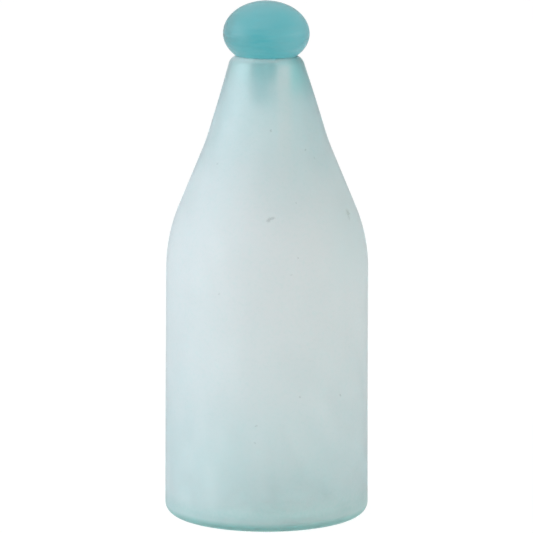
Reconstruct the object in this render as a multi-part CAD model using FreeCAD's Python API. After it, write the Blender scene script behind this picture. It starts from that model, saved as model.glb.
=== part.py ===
"""Frosted glass bottle with a loose pebble-shaped glass stopper.

The bottle is one blown piece: a nearly straight body on a rounded heel, a broad shoulder that
runs into a neck of two cones, and a thick fire-polished lip. Its base is pushed up in the middle,
so that it stands on a flat ring. The stopper is one solid piece: an oblate knob with a flat seat
that rests on the lip, and a plain stem that hangs in the mouth and keeps it in place.

Millimetres, +Z up. The origin is the middle of the foot, on the surface that the bottle stands on.
"""

import FreeCAD, Part

import math
import os

# Outside of the bottle: heights are steps from the foot up, diameters are at the unrounded corners
HEEL_DIAMETER = 140.0
SHOULDER_DIAMETER = 138.2
BEND_DIAMETER = 83.6
LIP_DIAMETER = 47.9
BODY_HEIGHT = 193.0
SHOULDER_RISE = 65.5
NECK_RISE = 58.5

HEEL_ROUND = 7.0
SHOULDER_ROUND = 110.0
BEND_ROUND = 150.0
LIP_OUTER_ROUND = 7.0

# Wall of the bottle: thick at the heel, blown thin at the shoulder, thick again up to the lip
HEEL_WALL = 6.0
SHOULDER_WALL = 2.2
BEND_WALL = 5.2
LIP_FLAT = 0.5
LIP_INNER_ROUND = 2.3
THROAT_LENGTH = 6.0
THROAT_ROUND = 8.0

# Pushed-up base
BASE_THICKNESS = 8.0
PUSH_UP_DEPTH = 6.0
FOOT_RING_WIDTH = 13.0
FLOOR_ROUND = 14.0

# Stopper: the knob is two half ovals that meet at its widest level, the upper one a little fuller
KNOB_DIAMETER = 58.9
KNOB_CROWN = 22.2
KNOB_UNDERSIDE = 21.2
SEAT_OVERHANG = 2.3
SEAT_EDGE_ROUND = 0.8
STEM_LENGTH = 32.0
STEM_TAPER = 4.0
STEM_ROOT_ROUND = 2.5
STEM_TIP_ROUND = 3.5

# Clearances between the stopper and the bottle
SEAT_GAP = 0.2
STEM_GAP = 6.0

# Places that follow from the sizes above
BEND_HEIGHT = BODY_HEIGHT + SHOULDER_RISE
LIP_HEIGHT = BEND_HEIGHT + NECK_RISE
THROAT_HEIGHT = LIP_HEIGHT - THROAT_LENGTH
SEAT_HEIGHT = LIP_HEIGHT + SEAT_GAP

# Points closer than this are one point
MATCH = 1e-4

ORIGIN = FreeCAD.Vector(0, 0, 0)
UP = FreeCAD.Vector(0, 0, 1)


def at(radius, height):
    """A point of a turned profile, in the XZ plane."""
    return FreeCAD.Vector(radius, 0, height)


def rounding_at(before, corner, after, radius):
    """Start, middle and end of the tangent arc that rounds a corner between two lines."""
    back = (before - corner).normalize()
    ahead = (after - corner).normalize()
    half_angle = back.getAngle(ahead) / 2
    setback = radius / math.tan(half_angle)
    inward = (back + ahead).normalize()
    middle = corner + inward * (radius / math.sin(half_angle) - radius)
    return corner + back * setback, middle, corner + ahead * setback


def rounded_run(*corners):
    """Lines from corner to corner of (radius, height, rounding), with an arc at each rounding."""
    points = [at(radius, height) for radius, height, _ in corners]
    edges = []
    reached = points[0]
    for before, corner, after, given in zip(points, points[1:], points[2:], corners[1:]):
        start, middle, end = rounding_at(before, corner, after, given[2])
        if start.distanceToPoint(reached) > MATCH:
            edges.append(Part.LineSegment(reached, start).toShape())
        if given[2] > 0:
            edges.append(Part.Arc(start, middle, end).toShape())
        reached = end
    edges.append(Part.LineSegment(reached, points[-1]).toShape())
    return edges


def turned(edges):
    """The solid that a closed profile sweeps in one turn about the Z axis."""
    face = Part.Face(Part.Wire(edges))
    return face.revolve(ORIGIN, UP, 360)


def rings(solid):
    """The level circles of a turned solid, without its seams and the points at its poles."""
    edges = [edge for edge in solid.Edges if not edge.Degenerated]
    circles = [edge for edge in edges if isinstance(edge.Curve, Part.Circle)]
    return [edge for edge in circles if edge.Curve.Axis.cross(UP).Length < MATCH]


def lip_crest_radius():
    """Where the lip's outer rounding meets its flat top."""
    neck_slope = math.atan2((BEND_DIAMETER - LIP_DIAMETER) / 2, NECK_RISE)
    corner_turn = math.pi / 2 - neck_slope
    return LIP_DIAMETER / 2 - LIP_OUTER_ROUND * math.tan(corner_turn / 2)


def mouth_radius():
    """The clear opening that the lip's flat and its inner rounding leave."""
    return lip_crest_radius() - LIP_FLAT - LIP_INNER_ROUND


def push_up_sphere_radius():
    """The sphere through the foot ring's inner edge and the top of the push-up."""
    rim = HEEL_DIAMETER / 2 - HEEL_ROUND - FOOT_RING_WIDTH
    return (rim ** 2 + PUSH_UP_DEPTH ** 2) / (2 * PUSH_UP_DEPTH)


def outer_form():
    """The bottle's outside, as if it were solid glass."""
    return turned(rounded_run(
        (0, 0, 0),
        (HEEL_DIAMETER / 2, 0, HEEL_ROUND),
        (SHOULDER_DIAMETER / 2, BODY_HEIGHT, SHOULDER_ROUND),
        (BEND_DIAMETER / 2, BEND_HEIGHT, BEND_ROUND),
        (LIP_DIAMETER / 2, LIP_HEIGHT, LIP_OUTER_ROUND),
        (0, LIP_HEIGHT, 0),
        (0, 0, 0),
    ))


def hollow(floor_dome):
    """The space inside the bottle: it stands on the floor's dome and runs out through the mouth."""
    mouth = mouth_radius()
    mouth_edge = mouth + LIP_INNER_ROUND
    above = LIP_HEIGHT + LIP_INNER_ROUND
    space = turned(rounded_run(
        (0, 0, 0),
        (HEEL_DIAMETER / 2 - HEEL_WALL, 0, 0),
        (SHOULDER_DIAMETER / 2 - SHOULDER_WALL, BODY_HEIGHT, SHOULDER_ROUND - SHOULDER_WALL),
        (BEND_DIAMETER / 2 - BEND_WALL, BEND_HEIGHT, BEND_ROUND + BEND_WALL),
        (mouth, THROAT_HEIGHT, THROAT_ROUND),
        (mouth, LIP_HEIGHT, LIP_INNER_ROUND),
        (mouth_edge, LIP_HEIGHT, 0),
        (mouth_edge, above, 0),
        (0, above, 0),
        (0, 0, 0),
    )).cut(floor_dome)
    rim = min(rings(space), key=lambda edge: edge.Curve.Center.z)
    return space.makeFillet(FLOOR_ROUND, [rim])


def bottle():
    """The blown bottle, with its hollow, its pushed-up base and its rounded lip."""
    push_up_radius = push_up_sphere_radius()
    dome_centre = at(0, PUSH_UP_DEPTH - push_up_radius)
    push_up = Part.makeSphere(push_up_radius, dome_centre)
    floor_dome = Part.makeSphere(push_up_radius + BASE_THICKNESS, dome_centre)
    return outer_form().cut(hollow(floor_dome)).cut(push_up)


def knob_arc(widest_level, rise, start, end):
    """Part of an oval as wide as the knob that rises as given from the knob's widest level."""
    centre = at(0, widest_level)
    oval = Part.Ellipse(centre + at(KNOB_DIAMETER / 2, 0), centre + at(0, rise), centre)
    return Part.ArcOfEllipse(oval, start, end).toBSpline().toShape()


def stopper():
    """The solid stopper: a pebble-shaped knob, cut flat where it sits on the lip, and its stem."""
    seat_radius = lip_crest_radius() + SEAT_OVERHANG
    seat_angle = math.acos(seat_radius / (KNOB_DIAMETER / 2))
    widest_level = SEAT_HEIGHT + KNOB_UNDERSIDE * math.sin(seat_angle)
    stem_radius = mouth_radius() - STEM_GAP
    tip_height = SEAT_HEIGHT - STEM_LENGTH
    profile = rounded_run(
        (0, widest_level + KNOB_CROWN, 0),
        (0, tip_height, 0),
        (stem_radius - STEM_TAPER, tip_height, STEM_TIP_ROUND),
        (stem_radius, SEAT_HEIGHT, STEM_ROOT_ROUND),
        (seat_radius, SEAT_HEIGHT, 0),
    )
    profile.append(knob_arc(widest_level, KNOB_UNDERSIDE, -seat_angle, 0))
    profile.append(knob_arc(widest_level, KNOB_CROWN, 0, math.pi / 2))
    blank = turned(profile)
    seat_rings = [edge for edge in rings(blank) if abs(edge.Curve.Center.z - SEAT_HEIGHT) < MATCH]
    seat_edge = max(seat_rings, key=lambda edge: edge.Curve.Radius)
    return blank.makeFillet(SEAT_EDGE_ROUND, [seat_edge])


def main():
    os.makedirs("parts", exist_ok=True)
    for name, piece in {"bottle": bottle(), "stopper": stopper()}.items():
        piece.exportStep(f"parts/{name}.step")
        box = piece.optimalBoundingBox()
        print(f"{name}: {box.XLength:.1f} x {box.YLength:.1f} mm, z {box.ZMin:.1f} to {box.ZMax:.1f}, "
              f"{piece.Volume / 1000:.1f} cm3, {len(piece.Solids)} solid, valid {piece.isValid()}")


main()
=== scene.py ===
# %% [markdown]
# # A frosted glass bottle and its stopper
#
# This lesson dresses a bottle of pale aqua glass and its loose, darker stopper. Both are made by hand and
# then frosted, so they scatter light like beach glass: nothing sharp shows through them, and no highlight
# has an edge. The CAD frame gives the sizes and the two bodies that move. The cells below make the studio,
# the frost, the two turned pieces of glass and the small flaws in it.

# %% Load the frame
import math
from collections import namedtuple

import bpy
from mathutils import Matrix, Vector


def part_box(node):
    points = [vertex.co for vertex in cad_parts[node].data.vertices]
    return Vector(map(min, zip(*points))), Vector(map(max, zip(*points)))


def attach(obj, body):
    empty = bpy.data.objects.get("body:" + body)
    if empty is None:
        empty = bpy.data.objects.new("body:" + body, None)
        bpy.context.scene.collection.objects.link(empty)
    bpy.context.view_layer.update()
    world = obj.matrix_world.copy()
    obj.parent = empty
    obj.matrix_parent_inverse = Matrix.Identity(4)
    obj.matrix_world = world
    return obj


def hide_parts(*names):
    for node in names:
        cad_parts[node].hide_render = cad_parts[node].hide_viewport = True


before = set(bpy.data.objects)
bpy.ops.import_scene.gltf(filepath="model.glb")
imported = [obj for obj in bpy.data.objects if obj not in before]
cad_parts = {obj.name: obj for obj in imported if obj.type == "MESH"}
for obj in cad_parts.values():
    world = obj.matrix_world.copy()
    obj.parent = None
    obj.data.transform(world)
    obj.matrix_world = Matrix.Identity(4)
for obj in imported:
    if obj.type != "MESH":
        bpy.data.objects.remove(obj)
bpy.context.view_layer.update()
MM = 0.001
bottle_low, bottle_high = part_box("bottle")
stopper_low, stopper_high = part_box("stopper")

# %% [markdown]
# ## Helpers for node trees
#
# Geometry and shading are both drawn as node trees here. A tree can be drawn by hand in Blender, but one
# that is written down can be read and made again. Adding a node, setting its options and wiring its sockets
# is the same work each time, so a few short helpers do it. A value that is itself a socket is wired, and
# anything else is typed into the field.

# %% Node helpers
def feed(tree, socket, value):
    """Wire a socket to another node's output, or fill it with a plain value."""
    if isinstance(value, bpy.types.NodeSocket):
        tree.links.new(value, socket)
    else:
        socket.default_value = value


def node(tree, kind, options=None, **inputs):
    """Add a node, set its options, and feed its inputs by name."""
    made = tree.nodes.new(kind)
    for option, value in (options or {}).items():
        setattr(made, option, value)
    for name, value in inputs.items():
        feed(tree, made.inputs[name.replace("_", " ")], value)
    return made


def operation(tree, kind, name, *values):
    """A node that does one sum with the values in its first fields."""
    made = node(tree, kind, {"operation": name})
    for socket, value in zip(made.inputs, values):
        feed(tree, socket, value)
    return made


def maths(tree, name, *values):
    """One Math node, as the socket that holds its result."""
    return operation(tree, "ShaderNodeMath", name, *values).outputs[0]


def vectors(tree, name, *values):
    """One Vector Math node, as its outputs: Vector, or Value for a length."""
    return operation(tree, "ShaderNodeVectorMath", name, *values).outputs


print("node helpers:", ", ".join(helper.__name__ for helper in (feed, node, operation, maths, vectors)))

# %% [markdown]
# ## The camera
#
# The bottle is seen from far away through a long lens, a little from above: the foot shows as a deep curve,
# and the lip as a flat one. A camera can be moved about by eye until it fits. Here its height and distance
# follow from the angle at which it looks down at a point on the bottle's axis, so that one value can be
# changed at a time.

# %% Camera
AIM_HEIGHT = 171.4 * MM
VIEW_DISTANCE = 2860 * MM
LOOK_DOWN = math.radians(9.9)
FRAME_WIDTH = 365.2 * MM
SENSOR = 36.0


def photo_camera():
    """A long lens in front of the bottle, looking down at its axis."""
    lens = bpy.data.cameras.new("photo_camera")
    lens.sensor_width = SENSOR
    lens.lens = SENSOR * VIEW_DISTANCE / FRAME_WIDTH
    camera = bpy.data.objects.new("photo_camera", lens)
    bpy.context.scene.collection.objects.link(camera)
    back = VIEW_DISTANCE * math.cos(LOOK_DOWN)
    up = VIEW_DISTANCE * math.sin(LOOK_DOWN)
    camera.location = (0, -back, AIM_HEIGHT + up)
    camera.rotation_euler = (math.pi / 2 - LOOK_DOWN, 0, 0)
    bpy.context.scene.camera = camera
    return camera


camera = photo_camera()
print("camera at", [round(x, 3) for x in camera.location], "lens", round(camera.data.lens, 1), "mm")

# %% [markdown]
# ## White surroundings that don't burn out the glass
#
# Frosted glass takes its whole look from what is around it. A plain white world would light the frost so
# strongly that its shading is lost. So the surroundings are white to the eye, in mirrored light and through
# the glass, which Light Path's ray types can tell apart, and the light that falls on matt surfaces is set by
# itself, at a plain level. Light crosses four skins of glass on its way through the bottle and is thrown
# about between them, so its paths are long.

# %% Surroundings
FILL_LEVEL = 0.45
FILL_COLOUR = (0.97, 0.99, 1.0, 1)
WHITE = (1, 1, 1, 1)
MOST_BOUNCES = 32


def seen_share(tree):
    """1 for rays that show the surroundings: straight, mirrored or through glass. 0 for matt light."""
    path = tree.nodes.new("ShaderNodeLightPath")
    mirrored = maths(tree, "MAXIMUM", path.outputs["Is Camera Ray"], path.outputs["Is Glossy Ray"])
    return maths(tree, "MAXIMUM", mirrored, path.outputs["Is Transmission Ray"])


def studio_world():
    """White to look at, and a soft even light for matt surfaces."""
    world = bpy.data.worlds.new("studio")
    world.use_nodes = True
    tree = world.node_tree
    tree.nodes.clear()
    fill = node(tree, "ShaderNodeBackground", Color=FILL_COLOUR, Strength=FILL_LEVEL)
    white = node(tree, "ShaderNodeBackground", Color=WHITE, Strength=1.0)
    mix = node(tree, "ShaderNodeMixShader", Fac=seen_share(tree))
    tree.links.new(fill.outputs[0], mix.inputs[1])
    tree.links.new(white.outputs[0], mix.inputs[2])
    node(tree, "ShaderNodeOutputWorld", Surface=mix.outputs[0])
    bpy.context.scene.world = world


def glass_light_paths():
    """Let light go from wall to wall of the glass often enough to find its way out."""
    paths = bpy.context.scene.cycles
    paths.max_bounces = MOST_BOUNCES
    paths.transmission_bounces = MOST_BOUNCES
    paths.glossy_bounces = MOST_BOUNCES


studio_world()
glass_light_paths()
bpy.context.scene.view_settings.view_transform = "Standard"
print("surroundings: fill light of", FILL_LEVEL, "and at most", MOST_BOUNCES, "bounces")

# %% [markdown]
# ## The floor
#
# The bottle stands on a wide pale sheet that runs off into the white. A sheet that only glows would be white
# but show no shadow, and one that is only lit would be grey. So part of its white is its own glow, which
# brings it level with the surroundings, and the rest is lit, and the bottle still leaves a soft shadow.

# %% Floor
FLOOR_HALF = 14.0
FLOOR_GAP = 0.3 * MM
FLOOR_GLOW = 0.95
FLOOR_LIT = 0.12
BOUNCE_GLOW = 0.65
BOUNCE_LIT = 0.25


def glowing_sheet(tree, glow, lit):
    """A matt white that is partly its own glow and partly lit."""
    own = node(tree, "ShaderNodeEmission", Color=WHITE, Strength=glow)
    matt = node(tree, "ShaderNodeBsdfDiffuse", Color=(lit, lit, lit, 1))
    both = node(tree, "ShaderNodeAddShader")
    tree.links.new(own.outputs[0], both.inputs[0])
    tree.links.new(matt.outputs[0], both.inputs[1])
    return both.outputs[0]


def floor_finish():
    """White to look at with a faint shadow, and a plain pale sheet for the light that it sends back."""
    material = bpy.data.materials.new("pale_floor")
    material.use_nodes = True
    tree = material.node_tree
    tree.nodes.clear()
    mix = node(tree, "ShaderNodeMixShader", Fac=seen_share(tree))
    tree.links.new(glowing_sheet(tree, BOUNCE_GLOW, BOUNCE_LIT), mix.inputs[1])
    tree.links.new(glowing_sheet(tree, FLOOR_GLOW, FLOOR_LIT), mix.inputs[2])
    node(tree, "ShaderNodeOutputMaterial", Surface=mix.outputs[0])
    return material


def pale_floor():
    """A flat sheet under the bottle."""
    mesh = bpy.data.meshes.new("floor")
    level = bottle_low.z - FLOOR_GAP
    corners = [(-1, -1), (1, -1), (1, 1), (-1, 1)]
    mesh.from_pydata([(x * FLOOR_HALF, y * FLOOR_HALF, level) for x, y in corners], [], [range(4)])
    mesh.materials.append(floor_finish())
    floor = bpy.data.objects.new("floor", mesh)
    bpy.context.scene.collection.objects.link(floor)


pale_floor()
print("floor:", 2 * FLOOR_HALF, "m wide")

# %% [markdown]
# ## The lamps
#
# The left side of the glass is the brighter and the cooler one, so a large cool lamp stands high on the
# left. A smaller one keeps the right edge from going dark, and a faint warm one stands in front. A single
# lamp would leave one edge black, and more than three would even everything out. They light the frost, but
# aren't seen through the glass, so that no side of the bottle glows.

# %% Lamps
LEFT_LAMP = {"place": (-2.05, -0.4, 0.9), "size": 1.8, "power": 33.0, "colour": (0.82, 0.94, 1.05)}
RIGHT_LAMP = {"place": (2.05, -0.1, 0.3), "size": 1.2, "power": 12.5, "colour": (0.94, 1.0, 0.98)}
FRONT_LAMP = {"place": (0.5, -2.0, 0.3), "size": 0.8, "power": 6.9, "colour": (1.0, 0.95, 0.94)}


def soft_lamp(name, place, size, power, colour):
    """A square lamp that faces the middle of the bottle, and isn't seen through the glass."""
    light = bpy.data.lights.new(name, "AREA")
    light.size = size
    light.energy = power
    light.color = colour
    lamp = bpy.data.objects.new(name, light)
    bpy.context.scene.collection.objects.link(lamp)
    lamp.visible_transmission = False
    lamp.location = place
    towards = Vector((0, 0, AIM_HEIGHT)) - Vector(place)
    lamp.rotation_euler = towards.to_track_quat("-Z", "Y").to_euler()


soft_lamp("left_lamp", **LEFT_LAMP)
soft_lamp("right_lamp", **RIGHT_LAMP)
soft_lamp("front_lamp", **FRONT_LAMP)
print("lamps of", [lamp["power"] for lamp in (LEFT_LAMP, RIGHT_LAMP, FRONT_LAMP)], "W")

# %% [markdown]
# ## Values that change from place to place
#
# Frost is never even: it thins out, wanders and breaks up. A painted picture could hold that, but it would
# need a flat map of each piece, and a map has seams. Noise, ramps and mixes work on the place itself, so
# they fit any shape. Each helper returns a socket, so one can be fed into the next.

# %% Noise, ramps and mixes
def noise(tree, place, size, detail):
    """Cloudy noise between 0 and 1 with blotches about as wide as size."""
    return node(tree, "ShaderNodeTexNoise", Vector=place, Scale=1 / size, Detail=detail).outputs["Fac"]


def swing(tree, value, reach):
    """Noise between 0 and 1 turned into a swing between -reach and reach."""
    return maths(tree, "MULTIPLY_ADD", value, 2 * reach, -reach)


def between(tree, share, first, second):
    """A number between two others."""
    mix = node(tree, "ShaderNodeMix", Factor=share)
    feed(tree, mix.inputs[2], first)
    feed(tree, mix.inputs[3], second)
    return mix.outputs[0]


def colour_between(tree, share, first, second):
    """A colour between two others."""
    mix = node(tree, "ShaderNodeMix", {"data_type": "RGBA"}, Factor=share)
    feed(tree, mix.inputs[6], first)
    feed(tree, mix.inputs[7], second)
    return mix.outputs[2]


def ramp(tree, value, start, end):
    """0 at start and 1 at end, with a soft beginning and a soft end."""
    made = node(tree, "ShaderNodeMapRange", {"interpolation_type": "SMOOTHSTEP"}, Value=value)
    feed(tree, made.inputs["From Min"], start)
    feed(tree, made.inputs["From Max"], end)
    return made.outputs["Result"]


def band(tree, value, low, full_low, full_high, high):
    """1 between the two full values, and 0 below the low and above the high one."""
    return maths(tree, "MULTIPLY", ramp(tree, value, low, full_low), ramp(tree, value, high, full_high))


print("value helpers:", ", ".join(helper.__name__ for helper in (noise, swing, between, ramp, band)))

# %% [markdown]
# ## Skins of frost
#
# On the real bottle the frost is heavy on the body and light at the mouth, and handling has rubbed the heel.
# One even frost would look airbrushed. So skins are laid over each other, each in a belt of heights, and
# some over a part of the width only. Some skins also paint light and shade into the frost: a paler lip
# crest, a pale stripe, and sides that are lighter or darker. The edges of a skin wander, and some skins are
# mottled.
# Over them all lie faint patches with ragged edges.

# %% Skins
WANDER_SIZE = 32 * MM
WANDER_DETAIL = 3.0
MOTTLE_SIZE = 5 * MM
MOTTLE_DETAIL = 4.0
PATCH_DETAIL = 6.0
PATCH_EDGE = (0.42, 0.58)


def mm(*values):
    """Several lengths in millimetres, as metres."""
    return tuple(value * MM for value in values)


def skin(clear, roughness, tint, **where):
    """A frost: the share of light that it lets through, its roughness and tint, and where it lies."""
    return {"clear": clear, "roughness": roughness, "colour": (*tint, 1), "where": where}


def skin_share(tree, place, heights, wander, mottle=0.0, mottle_size=MOTTLE_SIZE, across=None):
    """How much of a skin lies at a place: none outside its belt, and all of it between the full values."""
    parts = node(tree, "ShaderNodeSeparateXYZ", Vector=place).outputs
    drift = swing(tree, noise(tree, place, WANDER_SIZE, WANDER_DETAIL), wander)
    share = band(tree, maths(tree, "ADD", parts["Z"], drift), *heights)
    if across:
        share = maths(tree, "MULTIPLY", share, band(tree, parts["X"], *across))
    if mottle:
        blotches = noise(tree, place, mottle_size, MOTTLE_DETAIL)
        share = maths(tree, "ADD", share, swing(tree, blotches, mottle))
    return node(tree, "ShaderNodeClamp", Value=share).outputs[0]


def patches(tree, place, size, stretch, reach):
    """How much more or less light goes through the frost, in patches with ragged edges."""
    drawn = vectors(tree, "MULTIPLY", place, stretch)["Vector"]
    cloud = noise(tree, drawn, size, PATCH_DETAIL)
    return swing(tree, ramp(tree, cloud, *PATCH_EDGE), reach)


print("skins wander over", round(WANDER_SIZE / MM), "mm and are mottled at", round(MOTTLE_SIZE / MM), "mm")

# %% [markdown]
# ## Frosted glass
#
# The glass is clear inside and matt outside. Inside, it takes away red as light travels through it, so a
# thin wall is nearly grey and a solid knob is teal: Volume Absorption does that. Outside, the frost scatters
# light on its way through, which is a high roughness on a transmitting surface, and throws some of it
# straight back as a milky veil, which is the part of the surface that doesn't transmit. A glass shader
# mixed with a matt one could do the same, but a single Principled shader keeps its values when it is
# exported. The inner wall is smoother, and smoothest in the throat, where the stem has to show through. A
# trace of sheen lightens the rims.

# %% Frosted glass
GLASS_IOR = 1.5
INNER_ROUGHNESS = 0.45
THROAT_ROUGHNESS = 0.3
THROAT_RISE = mm(230, 290)
GRAIN_SIZE = 0.9 * MM
GRAIN_DETAIL = 2.0
GRAIN_DEPTH = 0.05 * MM
RIM_SHEEN = 0.12


def inner_roughness(tree, place):
    """How matt the inner wall is: less and less on the way up to the mouth."""
    height = node(tree, "ShaderNodeSeparateXYZ", Vector=place).outputs["Z"]
    throat = ramp(tree, height, *THROAT_RISE)
    return between(tree, throat, INNER_ROUGHNESS, THROAT_ROUGHNESS)


def frosted_glass(name, absorb, density, patchiness, ground, *skins):
    """Glass that absorbs light inside, with a ground of frost outside and more skins of frost over it."""
    material = bpy.data.materials.new(name)
    material.use_nodes = True
    tree = material.node_tree
    tree.nodes.clear()
    place = tree.nodes.new("ShaderNodeTexCoord").outputs["Object"]
    clear, roughness, colour = ground["clear"], ground["roughness"], ground["colour"]
    for layer in skins:
        share = skin_share(tree, place, **layer["where"])
        clear = between(tree, share, clear, layer["clear"])
        roughness = between(tree, share, roughness, layer["roughness"])
        colour = colour_between(tree, share, colour, layer["colour"])
    clear = maths(tree, "ADD", clear, patches(tree, place, **patchiness))
    inside = node(tree, "ShaderNodeAttribute", {"attribute_name": "inside"}).outputs["Fac"]
    grain = noise(tree, place, GRAIN_SIZE, GRAIN_DETAIL)
    relief = node(tree, "ShaderNodeBump", Height=grain, Distance=GRAIN_DEPTH)
    surface = node(
        tree,
        "ShaderNodeBsdfPrincipled",
        Base_Color=colour,
        Roughness=between(tree, inside, roughness, inner_roughness(tree, place)),
        IOR=GLASS_IOR,
        Sheen_Weight=RIM_SHEEN,
        Transmission_Weight=between(tree, inside, clear, 1.0),
        Normal=relief.outputs["Normal"],
    )
    inner = node(tree, "ShaderNodeVolumeAbsorption", Color=absorb, Density=density)
    node(tree, "ShaderNodeOutputMaterial", Surface=surface.outputs[0], Volume=inner.outputs[0])
    return material


print("frosted glass: grain of", round(GRAIN_SIZE / MM, 1), "mm, index", GLASS_IOR)

# %% [markdown]
# ## The bottle's frost
#
# The neck's frost is the ground. The body's is milkier, and the mouth is nearly clear. The lip's right edge
# is clearer and tealer as painted shade, and a paler, warmer stripe beside the stem is a painted highlight.
# The lip's crest is milkier as a painted highlight where the knob shades it. The heel is rubbed dull, and
# its milkier frost also paints light into the floor's shade. The right shoulder is a little barer than the
# left as painted shade, the left flank is paler above the heel as painted light, and the foot's edge shows
# the green of thick glass. All this could be one long chain of nodes. As a list of named skins, each can be
# found, changed or taken out by itself.

# %% Bottle's frost
BOTTLE_ABSORB = (0.133, 0.711, 0.742, 1)
BOTTLE_DENSITY = 50.0
BOTTLE_PATCHES = {"size": 14 * MM, "stretch": (1, 1, 0.7), "reach": 0.02}
NECK_FROST = skin(clear=0.735, roughness=0.55, tint=(0.96, 0.98, 0.98))
BODY_FROST = skin(
    clear=0.5,
    roughness=0.62,
    tint=(0.975, 0.96, 0.955),
    heights=mm(-40, 140, 200, 300),
    wander=32 * MM,
    mottle=0.2,
)
MOUTH_FROST = skin(
    clear=0.84,
    roughness=0.34,
    tint=(0.94, 0.98, 0.97),
    heights=mm(295, 313, 330, 340),
    wander=6 * MM,
    mottle=0.2,
)
# Painted highlight: the lip's crest is milkier, so that it shows pale where the knob shades it.
LIP_CREST_PAINTED_HIGHLIGHT = skin(
    clear=0.5,
    roughness=0.5,
    tint=(0.96, 0.98, 0.97),
    heights=mm(313.6, 316.2, 330, 340),
    wander=0.5 * MM,
    mottle=0.2,
    mottle_size=3 * MM,
)
# Painted highlight: a paler, warmer stripe beside the stem, on the right of the neck.
STEM_SIDE_PAINTED_HIGHLIGHT = skin(
    clear=0.66,
    roughness=0.5,
    tint=(1.0, 0.97, 0.96),
    heights=mm(230, 275, 309, 314),
    wander=6 * MM,
    across=mm(5, 10, 14, 20),
)
# Painted shade: the lip's right edge is clearer and tealer than the rest.
LIP_EDGE_PAINTED_SHADE = skin(
    clear=0.93,
    roughness=0.4,
    tint=(0.75, 0.93, 0.9),
    heights=mm(285, 308, 330, 340),
    wander=2 * MM,
    across=mm(13, 21, 40, 50),
)
# The heel is rubbed dull, and its milkier frost also paints light into the floor's shade.
RUBBED_HEEL_AND_PAINTED_LIGHT = skin(
    clear=0.45,
    roughness=0.8,
    tint=(0.7, 0.85, 0.83),
    heights=mm(1, 4, 8, 26),
    wander=1.5 * MM,
    mottle=0.4,
    mottle_size=2.4 * MM,
)
# Painted shade: the right shoulder is clearer and a little cooler than the left.
SHOULDER_PAINTED_SHADE = skin(
    clear=0.57,
    roughness=0.6,
    tint=(0.945, 0.96, 0.955),
    heights=mm(150, 195, 235, 265),
    wander=14 * MM,
    across=mm(36, 55, 80, 90),
)
# Painted light: the left flank above the heel is paler and cooler.
FLANK_PAINTED_LIGHT = skin(
    clear=0.57,
    roughness=0.6,
    tint=(0.94, 0.97, 0.965),
    heights=mm(8, 22, 40, 100),
    wander=8 * MM,
    across=mm(-90, -80, -46, 12),
)
FOOT_EDGE = skin(
    clear=0.7,
    roughness=0.5,
    tint=(0.52, 0.97, 0.9),
    heights=mm(-20, -10, 2, 8),
    wander=0.5 * MM,
    mottle=0.1,
    mottle_size=4 * MM,
)
bottle_skins = [
    NECK_FROST,
    BODY_FROST,
    MOUTH_FROST,
    LIP_CREST_PAINTED_HIGHLIGHT,
    STEM_SIDE_PAINTED_HIGHLIGHT,
    LIP_EDGE_PAINTED_SHADE,
    RUBBED_HEEL_AND_PAINTED_LIGHT,
    SHOULDER_PAINTED_SHADE,
    FLANK_PAINTED_LIGHT,
    FOOT_EDGE,
]
bottle_glass = frosted_glass("bottle_glass", BOTTLE_ABSORB, BOTTLE_DENSITY, BOTTLE_PATCHES, *bottle_skins)
print("bottle's frost:", len(bottle_skins), "skins,", len(bottle_glass.node_tree.nodes), "nodes")

# %% [markdown]
# ## The stopper's frost
#
# The stopper is a deeper glass, and light has far more of it to cross, so it is teal. Its frost is thin, and
# heavier on the crown. It is milkier at the seat, which paints light into the shade under the knob, and on
# the knob's right, which is painted light. On the knob's left a pinkish skin tones down the lamp's highlight
# as painted shade. The stem has hardly any frost. Fine streaks run level round the knob. They could be
# bumps, but in frosted glass they only show as more and less milk, so they are the same ragged patches,
# drawn out sideways.

# %% Stopper's frost
STOPPER_ABSORB = (0.05, 0.75, 0.78, 1)
STOPPER_DENSITY = 60.0
STOPPER_STREAKS = {"size": 12 * MM, "stretch": (1, 1, 12), "reach": 0.018}
KNOB_FROST = skin(clear=0.96, roughness=0.46, tint=(0.96, 0.98, 0.98))
KNOB_TOP_FROST = skin(
    clear=0.86,
    roughness=0.6,
    tint=(0.95, 0.97, 0.98),
    heights=mm(334, 354, 370, 400),
    wander=14 * MM,
    mottle=0.7,
    mottle_size=11 * MM,
)
# Painted light: the knob's underside at the seat is milkier, so it is lighter in the knob's own shade.
KNOB_SEAT_PAINTED_LIGHT = skin(
    clear=0.935,
    roughness=0.46,
    tint=(0.96, 0.98, 0.98),
    heights=mm(280, 290, 319, 332),
    wander=6 * MM,
    mottle=0.3,
    mottle_size=8 * MM,
)
STEM_FROST = skin(
    clear=0.97,
    roughness=0.46,
    tint=(0.98, 1.0, 1.0),
    heights=mm(270, 275, 313, 317),
    wander=0.5 * MM,
)
# Painted shade: a pinkish skin on the knob's left tones down the lamp's highlight.
KNOB_LEFT_PAINTED_SHADE = skin(
    clear=0.94,
    roughness=0.5,
    tint=(1.0, 0.935, 0.925),
    heights=mm(322, 334, 344, 354),
    wander=6 * MM,
    mottle=0.2,
    mottle_size=8 * MM,
    across=mm(-50, -40, -18, -6),
)
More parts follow.
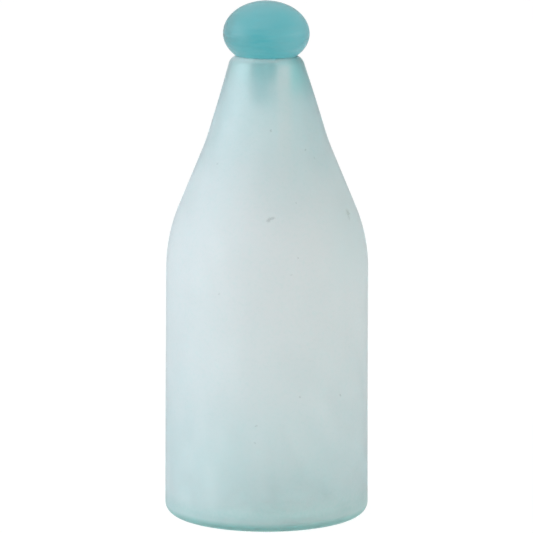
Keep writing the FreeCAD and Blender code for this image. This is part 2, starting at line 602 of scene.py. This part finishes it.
# Painted light: the knob's right side is milkier and lighter.
KNOB_RIGHT_PAINTED_LIGHT = skin(
    clear=0.92,
    roughness=0.5,
    tint=(1.0, 0.985, 0.985),
    heights=mm(314, 322, 342, 352),
    wander=6 * MM,
    mottle=0.2,
    mottle_size=8 * MM,
    across=mm(0, 10, 17, 28),
)
stopper_skins = [KNOB_FROST, KNOB_TOP_FROST, KNOB_SEAT_PAINTED_LIGHT, STEM_FROST, KNOB_LEFT_PAINTED_SHADE, KNOB_RIGHT_PAINTED_LIGHT]
stopper_glass = frosted_glass(
    "stopper_glass", STOPPER_ABSORB, STOPPER_DENSITY, STOPPER_STREAKS, *stopper_skins
)
print("stopper's frost:", len(stopper_skins), "skins,", len(stopper_glass.node_tree.nodes), "nodes")

# %% [markdown]
# ## An outline with round corners
#
# Bottle and stopper are round, so each is an outline turned about its axis. A blower's outline has no sharp
# corner. It could be a list of many points, but then no size in it could be changed. So the outline is a
# short chain of corners, each with its own rounding: Fillet Curve makes the arcs, and the long runs between
# them are cut into short ones.

# %% Rounded outline
ARC_POINTS = 14
POINT_SPACING = 3 * MM
VECTOR = {"data_type": "FLOAT_VECTOR"}


def attribute(tree, name):
    """A float attribute of the geometry, by name."""
    return node(tree, "GeometryNodeInputNamedAttribute", Name=name).outputs["Attribute"]


def position(tree):
    """Where each point is."""
    return tree.nodes.new("GeometryNodeInputPosition").outputs[0]


def rounded_outline(tree, corners):
    """The chain of corners as a curve with round corners and short runs."""
    chain = node(tree, "GeometryNodeMeshToCurve", Mesh=corners)
    bent = node(
        tree,
        "GeometryNodeFilletCurve",
        {"mode": "POLY"},
        Curve=chain.outputs[0],
        Count=ARC_POINTS,
        Radius=attribute(tree, "rounding"),
        Limit_Radius=True,
    )
    here = position(tree)
    following = maths(tree, "ADD", tree.nodes.new("GeometryNodeInputIndex").outputs[0], 1)
    ahead = node(tree, "GeometryNodeFieldAtIndex", VECTOR, Value=here, Index=following)
    run = vectors(tree, "DISTANCE", here, ahead.outputs[0])["Value"]
    cuts = maths(tree, "FLOOR", maths(tree, "DIVIDE", run, POINT_SPACING))
    return node(tree, "GeometryNodeSubdivideCurve", Curve=bent.outputs[0], Cuts=cuts).outputs[0]


print("arcs of", ARC_POINTS, "points, runs of at most", round(POINT_SPACING / MM), "mm")

# %% [markdown]
# ## Turning the outline
#
# A glass blower turns the hot glass all the time, and that makes it round. Spin or the Screw modifier could
# turn the outline too. A grid does it here, with a row for each point of the outline and its columns wrapped
# once round the axis, because a grid can also carry the mark that tells the inner wall from the outer one.
# Where the last column meets the first, and at the two ends on the axis, points that meet are welded.

# %% Turned grid
STEPS_ROUND = 160
WELD = 0.002 * MM


def turned_grid(tree, curve):
    """A grid with one row for each outline point, wrapped once round the axis and welded shut."""
    count = node(tree, "GeometryNodeAttributeDomainSize", {"component": "CURVE"}, Geometry=curve)
    columns = STEPS_ROUND + 1
    grid = node(tree, "GeometryNodeMeshGrid", Vertices_X=count.outputs["Point Count"], Vertices_Y=columns)
    index = tree.nodes.new("GeometryNodeInputIndex").outputs[0]
    row = maths(tree, "FLOOR", maths(tree, "DIVIDE", maths(tree, "ADD", index, 0.5), columns))
    column = maths(tree, "SUBTRACT", index, maths(tree, "MULTIPLY", row, columns))
    angle = maths(tree, "MULTIPLY", column, math.tau / STEPS_ROUND)
    point = node(tree, "GeometryNodeSampleIndex", VECTOR, Geometry=curve, Value=position(tree), Index=row)
    parts = node(tree, "ShaderNodeSeparateXYZ", Vector=point.outputs[0]).outputs
    place = node(
        tree,
        "ShaderNodeCombineXYZ",
        X=maths(tree, "MULTIPLY", parts["X"], maths(tree, "COSINE", angle)),
        Y=maths(tree, "MULTIPLY", parts["X"], maths(tree, "SINE", angle)),
        Z=parts["Z"],
    )
    wrapped = node(
        tree, "GeometryNodeSetPosition", Geometry=grid.outputs["Mesh"], Position=place.outputs[0]
    )
    inside = attribute(tree, "inside")
    side = node(tree, "GeometryNodeSampleIndex", Geometry=curve, Value=inside, Index=row)
    kept = node(
        tree,
        "GeometryNodeStoreNamedAttribute",
        Geometry=wrapped.outputs[0],
        Name="inside",
        Value=side.outputs[0],
    )
    return node(tree, "GeometryNodeMergeByDistance", Geometry=kept.outputs[0], Distance=WELD).outputs[0]


print("turned in", STEPS_ROUND, "steps")

# %% [markdown]
# ## Glass that is never quite true
#
# Hand-made glass is a little uneven: slow waves move the form in and out, other waves make the wall thicker
# and thinner from inside, the bore runs off the middle of the neck, the lip tilts, and either end sways
# sideways. Points could be pulled about by hand, but then a change of size would undo the work. So each of
# these is a move in the tree with its own amount, and a shift also has the two heights between which it
# grows.

# %% Turning tree
LEVEL = (1, 1, 0)
SIDEWAYS = (1, 0, 0)
UPWARDS = (0, 0, 1)
WAVE_DETAIL = 1.0
WAVES = ("Form wave", "Form wave size", "Wall wave", "Wall wave size", "Seed")
SHIFTS = ("Bore shift", "Lean", "Upper sway", "Lower sway")


def tree_inputs(tree, sizes):
    """Declare a tree's named inputs, and return them as sockets."""
    tree.interface.new_socket("Geometry", in_out="INPUT", socket_type="NodeSocketGeometry")
    for name, kind in sizes.items():
        tree.interface.new_socket(name, in_out="INPUT", socket_type=f"NodeSocket{kind}")
    tree.interface.new_socket("Geometry", in_out="OUTPUT", socket_type="NodeSocketGeometry")
    return tree.nodes.new("NodeGroupInput").outputs


def slow_wave(tree, size, seed):
    """Smooth noise between -1 and 1 with hills about as wide as size."""
    hills = node(tree, "ShaderNodeTexNoise", {"noise_dimensions": "4D"}, W=seed, Detail=WAVE_DETAIL)
    feed(tree, hills.inputs["Scale"], maths(tree, "DIVIDE", 1.0, size))
    return swing(tree, hills.outputs["Fac"], 1.0)


def moved(tree, geometry, direction, amount):
    """Move every point along a direction by an amount."""
    step = node(tree, "ShaderNodeVectorMath", {"operation": "SCALE"}, Scale=amount)
    feed(tree, step.inputs[0], direction)
    return node(tree, "GeometryNodeSetPosition", Geometry=geometry, Offset=step.outputs[0]).outputs[0]


def by_height(tree, height, given, name):
    """A shift that grows from nothing to its full amount between two heights, all three of them inputs."""
    share = ramp(tree, height, given[f"{name} from"], given[f"{name} to"])
    return maths(tree, "MULTIPLY", share, given[name])


def waved(tree, glass, given):
    """Slow waves: the whole form in and out, and the inner wall along its own normal."""
    level = vectors(tree, "MULTIPLY", position(tree), LEVEL)["Vector"]
    outwards = vectors(tree, "NORMALIZE", level)["Vector"]
    wave = slow_wave(tree, given["Form wave size"], given["Seed"])
    glass = moved(tree, glass, outwards, maths(tree, "MULTIPLY", wave, given["Form wave"]))
    normal = tree.nodes.new("GeometryNodeInputNormal").outputs[0]
    wave = slow_wave(tree, given["Wall wave size"], maths(tree, "ADD", given["Seed"], 1.0))
    wall = maths(tree, "MULTIPLY", wave, given["Wall wave"])
    return moved(tree, glass, normal, maths(tree, "MULTIPLY", wall, attribute(tree, "inside")))


def shifted(tree, glass, given):
    """The bore off the middle, the lip tilted, and both ends swayed."""
    parts = node(tree, "ShaderNodeSeparateXYZ", Vector=position(tree)).outputs
    bore = by_height(tree, parts["Z"], given, "Bore shift")
    glass = moved(tree, glass, SIDEWAYS, maths(tree, "MULTIPLY", bore, attribute(tree, "inside")))
    tilt = by_height(tree, parts["Z"], given, "Lean")
    glass = moved(tree, glass, UPWARDS, maths(tree, "MULTIPLY", tilt, parts["X"]))
    glass = moved(tree, glass, SIDEWAYS, by_height(tree, parts["Z"], given, "Upper sway"))
    return moved(tree, glass, SIDEWAYS, by_height(tree, parts["Z"], given, "Lower sway"))


def turned_glass_tree():
    """Outline in, closed glass wall out."""
    tree = bpy.data.node_groups.new("turned_glass", "GeometryNodeTree")
    sizes = {name: "Float" for name in WAVES}
    for name in SHIFTS:
        sizes |= {name: "Float", f"{name} from": "Float", f"{name} to": "Float"}
    given = tree_inputs(tree, sizes | {"Glass": "Material"})
    glass = turned_grid(tree, rounded_outline(tree, given["Geometry"]))
    glass = shifted(tree, waved(tree, glass, given), given)
    smooth = node(tree, "GeometryNodeSetShadeSmooth", Geometry=glass)
    real = node(tree, "GeometryNodeRealizeInstances", Geometry=smooth.outputs[0])
    finished = node(tree, "GeometryNodeSetMaterial", Geometry=real.outputs[0], Material=given["Glass"])
    node(tree, "NodeGroupOutput", Geometry=finished.outputs[0])
    return tree


turning = turned_glass_tree()
print("turning tree:", len(turning.nodes), "nodes")

# %% [markdown]
# ## From outline to plain mesh
#
# An outline starts life as a chain of edges. Its modifier gets its values by each socket's identifier
# before anything is evaluated. The modifier could stay on the piece, but other programs don't know it. So
# the result is copied into a plain mesh and the modifier goes, and what rides on the body is only a mesh.

# %% Outline helpers
OUTSIDE, INSIDE = 0.0, 1.0


def outline(name, corners):
    """A chain of edges in the XZ plane with one corner for each (radius, height, rounding, side)."""
    mesh = bpy.data.meshes.new(name)
    places = [(radius, 0, height) for radius, height, _, _ in corners]
    mesh.from_pydata(places, [(i, i + 1) for i in range(len(corners) - 1)], [])
    for column, key in ((2, "rounding"), (3, "inside")):
        values = mesh.attributes.new(key, "FLOAT", "POINT")
        values.data.foreach_set("value", [corner[column] for corner in corners])
    piece = bpy.data.objects.new(name, mesh)
    bpy.context.scene.collection.objects.link(piece)
    return piece


def shift(name, amount, start, end):
    """The three inputs of a shift that grows between two heights."""
    return {name: amount, f"{name} from": start, f"{name} to": end}


def shaped(piece, tree, values):
    """Run a piece through a tree, and keep the result as a plain mesh."""
    modifier = piece.modifiers.new(tree.name, "NODES")
    modifier.node_group = tree
    for item in tree.interface.items_tree:
        if item.in_out == "INPUT" and item.name in values:
            modifier[item.identifier] = values[item.name]
    graph = bpy.context.evaluated_depsgraph_get()
    mesh = bpy.data.meshes.new_from_object(piece.evaluated_get(graph))
    piece.modifiers.clear()
    piece.data = mesh
    return piece


def volume_of(mesh):
    """Signed volume in cubic metres: above zero if the faces point outwards."""
    mesh.calc_loop_triangles()
    points = [v.co for v in mesh.vertices]
    corners = ([points[i] for i in triangle.vertices] for triangle in mesh.loop_triangles)
    return sum(a.dot(b.cross(c)) for a, b, c in corners) / 6


print("outline helpers:", ", ".join(helper.__name__ for helper in (outline, shift, shaped, volume_of)))

# %% [markdown]
# ## The bottle
#
# The outline runs up the inside and comes down the outside: from the middle of the domed floor up the wall
# and the throat, over the lip, and down the neck, shoulder and heel to the pushed-up base. A single skin
# with Solidify would be quicker, but its wall would be even. This one is thick at the heel, thin at the
# shoulder and thick at the lip, which is what the colour of the glass depends on. A dome is a corner too:
# the two tangents of a round cap meet half way out.

# %% Bottle
HEEL_RADIUS = 70.0 * MM
SHOULDER_RADIUS = 69.1 * MM
BEND_RADIUS = 41.8 * MM
LIP_RADIUS = 23.95 * MM
SHOULDER_HEIGHT = 193.0 * MM
BEND_HEIGHT = 258.5 * MM
LIP_HEIGHT = bottle_high.z
HEEL_ROUND = 7.6 * MM
SHOULDER_ROUND = 110 * MM
BEND_ROUND = 150 * MM
LIP_OUTER_ROUND = 7 * MM
HEEL_WALL = 6.0 * MM
SHOULDER_WALL = 2.2 * MM
BEND_WALL = 5.2 * MM
MOUTH_RADIUS = 15.97 * MM
LIP_INNER_ROUND = 2.3 * MM
THROAT_LENGTH = 6 * MM
THROAT_HEIGHT = LIP_HEIGHT - THROAT_LENGTH
THROAT_ROUND = 8 * MM
PUSH_UP = 6 * MM
FOOT_INNER_RADIUS = 50 * MM
FOOT_EDGE_ROUND = 3 * MM
BASE_THICKNESS = 8 * MM
FLOOR_ROUND = 14 * MM
BOTTLE_UNEVENNESS = {
    "Form wave": 0.25 * MM,
    "Form wave size": 90 * MM,
    "Wall wave": 0.45 * MM,
    "Wall wave size": 42 * MM,
    "Seed": 3.0,
    **shift("Bore shift", -2.0 * MM, SHOULDER_HEIGHT, 300 * MM),
    **shift("Lean", -0.006, 275 * MM, LIP_HEIGHT),
    **shift("Upper sway", -0.5 * MM, 285 * MM, LIP_HEIGHT),
    **shift("Lower sway", 0.5 * MM, 60 * MM, SHOULDER_HEIGHT),
}


def bottle_outline():
    """Corners of the bottle's wall, inside first."""
    cap = (FOOT_INNER_RADIUS ** 2 + PUSH_UP ** 2) / (2 * PUSH_UP)
    dome = cap + BASE_THICKNESS
    dome_top = PUSH_UP + BASE_THICKNESS
    inner_heel = HEEL_RADIUS - HEEL_WALL
    dome_edge = dome_top - dome + math.sqrt(dome ** 2 - inner_heel ** 2)
    cap_corner = cap * math.tan(math.asin(FOOT_INNER_RADIUS / cap) / 2)
    dome_corner = dome * math.tan(math.asin(inner_heel / dome) / 2)
    return [
        (0, dome_top, 0, INSIDE),
        (dome_corner, dome_top, dome, INSIDE),
        (inner_heel, dome_edge, FLOOR_ROUND, INSIDE),
        (SHOULDER_RADIUS - SHOULDER_WALL, SHOULDER_HEIGHT, SHOULDER_ROUND - SHOULDER_WALL, INSIDE),
        (BEND_RADIUS - BEND_WALL, BEND_HEIGHT, BEND_ROUND + BEND_WALL, INSIDE),
        (MOUTH_RADIUS, THROAT_HEIGHT, THROAT_ROUND, INSIDE),
        (MOUTH_RADIUS, LIP_HEIGHT, LIP_INNER_ROUND, OUTSIDE),
        (LIP_RADIUS, LIP_HEIGHT, LIP_OUTER_ROUND, OUTSIDE),
        (BEND_RADIUS, BEND_HEIGHT, BEND_ROUND, OUTSIDE),
        (SHOULDER_RADIUS, SHOULDER_HEIGHT, SHOULDER_ROUND, OUTSIDE),
        (HEEL_RADIUS, 0, HEEL_ROUND, OUTSIDE),
        (FOOT_INNER_RADIUS, 0, FOOT_EDGE_ROUND, OUTSIDE),
        (cap_corner, PUSH_UP, cap, OUTSIDE),
        (0, PUSH_UP, 0, OUTSIDE),
    ]


bottle = shaped(
    outline("frosted_bottle", bottle_outline()), turning, BOTTLE_UNEVENNESS | {"Glass": bottle_glass}
)
print("bottle:", len(bottle.data.polygons), "faces,", round(volume_of(bottle.data) * 1e6, 1), "cm3")

# %% [markdown]
# ## The stopper
#
# The stopper is one solid lump of a deeper glass, so it is far darker than the thin wall. Its knob is a
# pebble: two half ovals meet at its widest level, the upper one a little fuller, and the lower one is cut
# flat where it sits on the lip. A squashed ball would be quicker to make, but it has no seat and no stem.
# The stem hangs in the mouth, a little askew, and shows through the neck as a soft dark patch.

# %% Stopper
KNOB_HALF_WIDTH = 29.45 * MM
KNOB_CROWN = 22.2 * MM
KNOB_UNDERSIDE = 21.2 * MM
KNOB_POINTS = 56
SEAT_RADIUS = 21.07 * MM
SEAT_GAP = 0.2 * MM
SEAT_HEIGHT = LIP_HEIGHT + SEAT_GAP
SEAT_EDGE_ROUND = 0.8 * MM
STEM_RADIUS = 9.97 * MM
STEM_TAPER = 4 * MM
STEM_ROOT_ROUND = 2.5 * MM
STEM_TIP_ROUND = 3.5 * MM
STEM_STRAIGHT_TIP = 8 * MM
STOPPER_UNEVENNESS = {
    "Form wave": 0.2 * MM,
    "Form wave size": 40 * MM,
    "Wall wave": 0.0,
    "Wall wave size": 40 * MM,
    "Seed": 8.0,
    **shift("Bore shift", 0.0, SEAT_HEIGHT, stopper_high.z),
    **shift("Lean", 0.0, SEAT_HEIGHT, stopper_high.z),
    **shift("Upper sway", -0.35 * MM, SEAT_HEIGHT, stopper_high.z),
    **shift("Lower sway", -2.4 * MM, SEAT_HEIGHT, stopper_low.z + STEM_STRAIGHT_TIP),
}


def knob_outline():
    """Points of the knob's two half ovals, from the top down to just above the seat."""
    seat_angle = math.acos(SEAT_RADIUS / KNOB_HALF_WIDTH)
    widest_level = SEAT_HEIGHT + KNOB_UNDERSIDE * math.sin(seat_angle)
    sweep = math.pi / 2 + seat_angle
    points = [(0, widest_level + KNOB_CROWN, 0, OUTSIDE)]
    for step in range(1, KNOB_POINTS):
        angle = math.pi / 2 - sweep * step / KNOB_POINTS
        rise = KNOB_CROWN if angle > 0 else KNOB_UNDERSIDE
        height = widest_level + rise * math.sin(angle)
        points.append((KNOB_HALF_WIDTH * math.cos(angle), height, 0, OUTSIDE))
    return points


def stopper_outline():
    """Corners of the stopper: down the knob, along its seat and down the stem."""
    return knob_outline() + [
        (SEAT_RADIUS, SEAT_HEIGHT, SEAT_EDGE_ROUND, OUTSIDE),
        (STEM_RADIUS, SEAT_HEIGHT, STEM_ROOT_ROUND, OUTSIDE),
        (STEM_RADIUS - STEM_TAPER, stopper_low.z, STEM_TIP_ROUND, OUTSIDE),
        (0, stopper_low.z, 0, OUTSIDE),
    ]


stopper = shaped(
    outline("glass_stopper", stopper_outline()), turning, STOPPER_UNEVENNESS | {"Glass": stopper_glass}
)
print("stopper:", len(stopper.data.polygons), "faces,", round(volume_of(stopper.data) * 1e6, 1), "cm3")

# %% [markdown]
# ## Specks in the frost
#
# Old glass is seldom clean. A short grey streak lies in the front of the shoulder, a brownish stain on its
# right, and a few fainter specks elsewhere. They could be painted in the frost, but a grain has a body of
# its own. A speck has a bearing from the front and a slant, both in degrees, a height, a half length and a
# half width. It also has a share of darkness, because it only veils the glass under it, and one of brown.
# Its grain thins out to a ragged rim.

# %% Speck grain
GREY_SPECK = (0.38, 0.42, 0.42, 1)
BROWN_SPECK = (0.42, 0.45, 0.25, 1)
SPECK_ROUGHNESS = (0.55, 0.8)
BLOTCH_SIZE = 0.6 * MM
BLOTCH_DETAIL = 3.0
RAGGEDNESS = 0.6
RIM_FADE = (1.0, 0.2)
Speck = namedtuple("Speck", "bearing height length width slant dark brown")
SHOULDER_STREAK = [
    Speck(1.4, 213.3 * MM, 2.7 * MM, 1.8 * MM, 45, 0.17, 0.1),
    Speck(3.8, 214.5 * MM, 2.4 * MM, 1.5 * MM, 15, 0.14, 0.1),
]
SHOULDER_STAIN = [
    Speck(64.3, 212.9 * MM, 3.6 * MM, 3.4 * MM, 80, 0.14, 1.0),
    Speck(63.4, 209.6 * MM, 3.0 * MM, 2.6 * MM, 100, 0.07, 0.3),
]
FRONT_SPECKS = [
    Speck(4.5, 270.5 * MM, 1.4 * MM, 1.0 * MM, 70, 0.13, 0.3),
    Speck(37.6, 257.0 * MM, 1.2 * MM, 1.0 * MM, 10, 0.12, 0.4),
    Speck(45.6, 251.2 * MM, 1.7 * MM, 0.8 * MM, 120, 0.1, 0.2),
    Speck(-45.9, 247.2 * MM, 1.5 * MM, 0.8 * MM, 40, 0.1, 0.1),
    Speck(20.7, 223.8 * MM, 1.0 * MM, 0.8 * MM, 100, 0.1, 0.2),
    Speck(18.2, 188.4 * MM, 1.0 * MM, 1.0 * MM, 90, 0.12, 0.2),
    Speck(13.8, 177.3 * MM, 1.4 * MM, 0.8 * MM, 0, 0.08, 0.1),
    Speck(-27.5, 163.3 * MM, 1.4 * MM, 0.8 * MM, 20, 0.1, 0.2),
    Speck(18.9, 93.7 * MM, 1.2 * MM, 1.1 * MM, 60, 0.13, 0.4),
    Speck(45.8, 91.5 * MM, 1.8 * MM, 1.0 * MM, 130, 0.13, 0.5),
    Speck(-5.8, 74.5 * MM, 1.8 * MM, 0.8 * MM, 10, 0.1, 0.3),
    Speck(-6.4, 62.8 * MM, 1.4 * MM, 1.0 * MM, 150, 0.1, 0.2),
]
SIDE_AND_BACK_SPECKS = [
    Speck(118.0, 150.0 * MM, 2.1 * MM, 1.0 * MM, 30, 0.17, 0.6),
    Speck(-140.0, 205.0 * MM, 2.7 * MM, 1.1 * MM, 65, 0.17, 0.3),
    Speck(165.0, 80.0 * MM, 1.5 * MM, 1.1 * MM, 15, 0.13, 0.4),
    Speck(-100.0, 110.0 * MM, 1.7 * MM, 0.8 * MM, 110, 0.1, 0.2),
]
SPECKS = SHOULDER_STREAK + SHOULDER_STAIN + FRONT_SPECKS + SIDE_AND_BACK_SPECKS


def speck_grain():
    """A dull grain that thins out to a ragged rim, from faint to dark and from grey to brown."""
    material = bpy.data.materials.new("speck_grain")
    material.use_nodes = True
    tree = material.node_tree
    tree.nodes.clear()
    place = tree.nodes.new("ShaderNodeTexCoord").outputs["Object"]
    brown = node(tree, "ShaderNodeAttribute", {"attribute_name": "brown"}).outputs["Fac"]
    dark = node(tree, "ShaderNodeAttribute", {"attribute_name": "dark"}).outputs["Fac"]
    rim = node(tree, "ShaderNodeAttribute", {"attribute_name": "rim"}).outputs["Fac"]
    blotch = noise(tree, place, BLOTCH_SIZE, BLOTCH_DETAIL)
    ragged = maths(tree, "ADD", rim, swing(tree, blotch, RAGGEDNESS))
    surface = node(
        tree,
        "ShaderNodeBsdfPrincipled",
        Base_Color=colour_between(tree, brown, GREY_SPECK, BROWN_SPECK),
        Roughness=between(tree, blotch, *SPECK_ROUGHNESS),
        Alpha=maths(tree, "MULTIPLY", dark, ramp(tree, ragged, *RIM_FADE)),
    )
    node(tree, "ShaderNodeOutputMaterial", Surface=surface.outputs[0])
    return material


speck_finish = speck_grain()
print("specks:", len(FRONT_SPECKS), "small ones in front,", len(SPECKS), "grains in all")

# %% [markdown]
# ## Throwing the specks at the wall
#
# A grain lies in the skin of the glass, wherever the wall is. Its place could be worked out from the
# outline, but the wall is uneven. So each speck starts as a loose point outside the bottle, and Raycast
# throws it straight at the axis. Where it lands, Instance on Points lays a flat, lumpy ball on the wall,
# half sunk in it and turned by its slant.

# %% Specks
SPECK_THICKNESS = 0.12 * MM
SPECK_LUMP = 0.35
LUMP_SIZE = 0.8
LUMP_SEED = 2.0
GRAIN_SUBDIVISIONS = 3
THROW_RADIUS = 100 * MM
THROW_LENGTH = 1.0
INWARDS = (-1, -1, 0)


def laid_on_wall(tree, normal, slant):
    """The turn that lays a grain flat on the wall, its length level and then turned by its slant."""
    flat = node(tree, "FunctionNodeAlignRotationToVector", {"axis": "Z"}, Vector=normal)
    upright = node(
        tree,
        "FunctionNodeAlignRotationToVector",
        {"axis": "Y", "pivot_axis": "Z"},
        Rotation=flat.outputs[0],
        Vector=UPWARDS,
    )
    turn = node(tree, "FunctionNodeAxisAngleToRotation", Axis=UPWARDS, Angle=slant)
    local = {"rotation_space": "LOCAL"}
    both = node(tree, "FunctionNodeRotateRotation", local, Rotation=upright.outputs[0])
    feed(tree, both.inputs["Rotate By"], turn.outputs[0])
    return both.outputs[0]


def landed_points(tree, points, wall):
    """The points thrown at the wall, each with the direction that the wall faces where it landed."""
    target = node(tree, "GeometryNodeObjectInfo", Object=wall).outputs["Geometry"]
    hit = node(
        tree,
        "GeometryNodeRaycast",
        Target_Geometry=target,
        Ray_Direction=vectors(tree, "MULTIPLY", position(tree), INWARDS)["Vector"],
        Ray_Length=THROW_LENGTH,
    ).outputs
    aimed = node(
        tree,
        "GeometryNodeStoreNamedAttribute",
        VECTOR,
        Geometry=points,
        Name="faces",
        Value=hit["Hit Normal"],
    )
    landed = node(
        tree, "GeometryNodeSetPosition", Geometry=aimed.outputs[0], Position=hit["Hit Position"]
    )
    return landed.outputs[0]


def lumpy_ball(tree, lump):
    """A ball of radius 1 with lumps, and with the distance from its middle to its rim kept on it."""
    ball = node(tree, "GeometryNodeMeshIcoSphere", Radius=1.0, Subdivisions=GRAIN_SUBDIVISIONS)
    level = vectors(tree, "MULTIPLY", position(tree), LEVEL)["Vector"]
    marked = node(
        tree,
        "GeometryNodeStoreNamedAttribute",
        Geometry=ball.outputs["Mesh"],
        Name="rim",
        Value=vectors(tree, "LENGTH", level)["Value"],
    )
    normal = tree.nodes.new("GeometryNodeInputNormal").outputs[0]
    depth = maths(tree, "MULTIPLY", slow_wave(tree, LUMP_SIZE, LUMP_SEED), lump)
    lumpy = moved(tree, marked.outputs[0], normal, depth)
    return node(tree, "GeometryNodeSetShadeSmooth", Geometry=lumpy).outputs[0]


def speck_tree():
    """Points near a wall in, lumpy grains on the wall out."""
    tree = bpy.data.node_groups.new("specks", "GeometryNodeTree")
    sizes = {"Wall": "Object", "Thickness": "Float", "Lump": "Float", "Grain": "Material"}
    given = tree_inputs(tree, sizes)
    faces = node(tree, "GeometryNodeInputNamedAttribute", VECTOR, Name="faces").outputs["Attribute"]
    scale = node(tree, "ShaderNodeCombineXYZ", X=attribute(tree, "length"), Y=attribute(tree, "width"))
    feed(tree, scale.inputs["Z"], given["Thickness"])
    grains = node(
        tree,
        "GeometryNodeInstanceOnPoints",
        Points=landed_points(tree, given["Geometry"], given["Wall"]),
        Instance=lumpy_ball(tree, given["Lump"]),
        Rotation=laid_on_wall(tree, faces, attribute(tree, "slant")),
        Scale=scale.outputs[0],
    )
    real = node(tree, "GeometryNodeRealizeInstances", Geometry=grains.outputs[0])
    finished = node(tree, "GeometryNodeSetMaterial", Geometry=real.outputs[0], Material=given["Grain"])
    node(tree, "NodeGroupOutput", Geometry=finished.outputs[0])
    return tree


def speck_points():
    """One loose point for each speck, outside the wall, with its sizes as attributes."""
    mesh = bpy.data.meshes.new("specks")
    places = []
    for speck in SPECKS:
        angle = math.radians(speck.bearing)
        places.append((THROW_RADIUS * math.sin(angle), -THROW_RADIUS * math.cos(angle), speck.height))
    mesh.from_pydata(places, [], [])
    plain = ("length", "width", "dark", "brown")
    columns = {name: [getattr(speck, name) for speck in SPECKS] for name in plain}
    columns["slant"] = [math.radians(speck.slant) for speck in SPECKS]
    for name, values in columns.items():
        mesh.attributes.new(name, "FLOAT", "POINT").data.foreach_set("value", values)
    points = bpy.data.objects.new("specks", mesh)
    bpy.context.scene.collection.objects.link(points)
    return points


specks = shaped(speck_points(), speck_tree(), {
    "Wall": bottle,
    "Thickness": SPECK_THICKNESS,
    "Lump": SPECK_LUMP,
    "Grain": speck_finish,
})
print("specks:", len(specks.data.polygons), "faces")

# %% [markdown]
# ## Which body carries what
#
# On the real object the stopper is loose and lifts out of the bottle. The two could be one mesh, but then
# nothing could move. So the bottle's mesh stands for the CAD bottle and the stopper's for the CAD stopper,
# and each moves with its own body. The specks stay in the bottle's wall.

# %% Ride on the bodies
for piece, name in ((bottle, "bottle"), (stopper, "stopper")):
    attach(piece, name)
    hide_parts(name)
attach(specks, "bottle")
print("on the bottle:", bottle.name, "and", specks.name, "and on the stopper:", stopper.name)
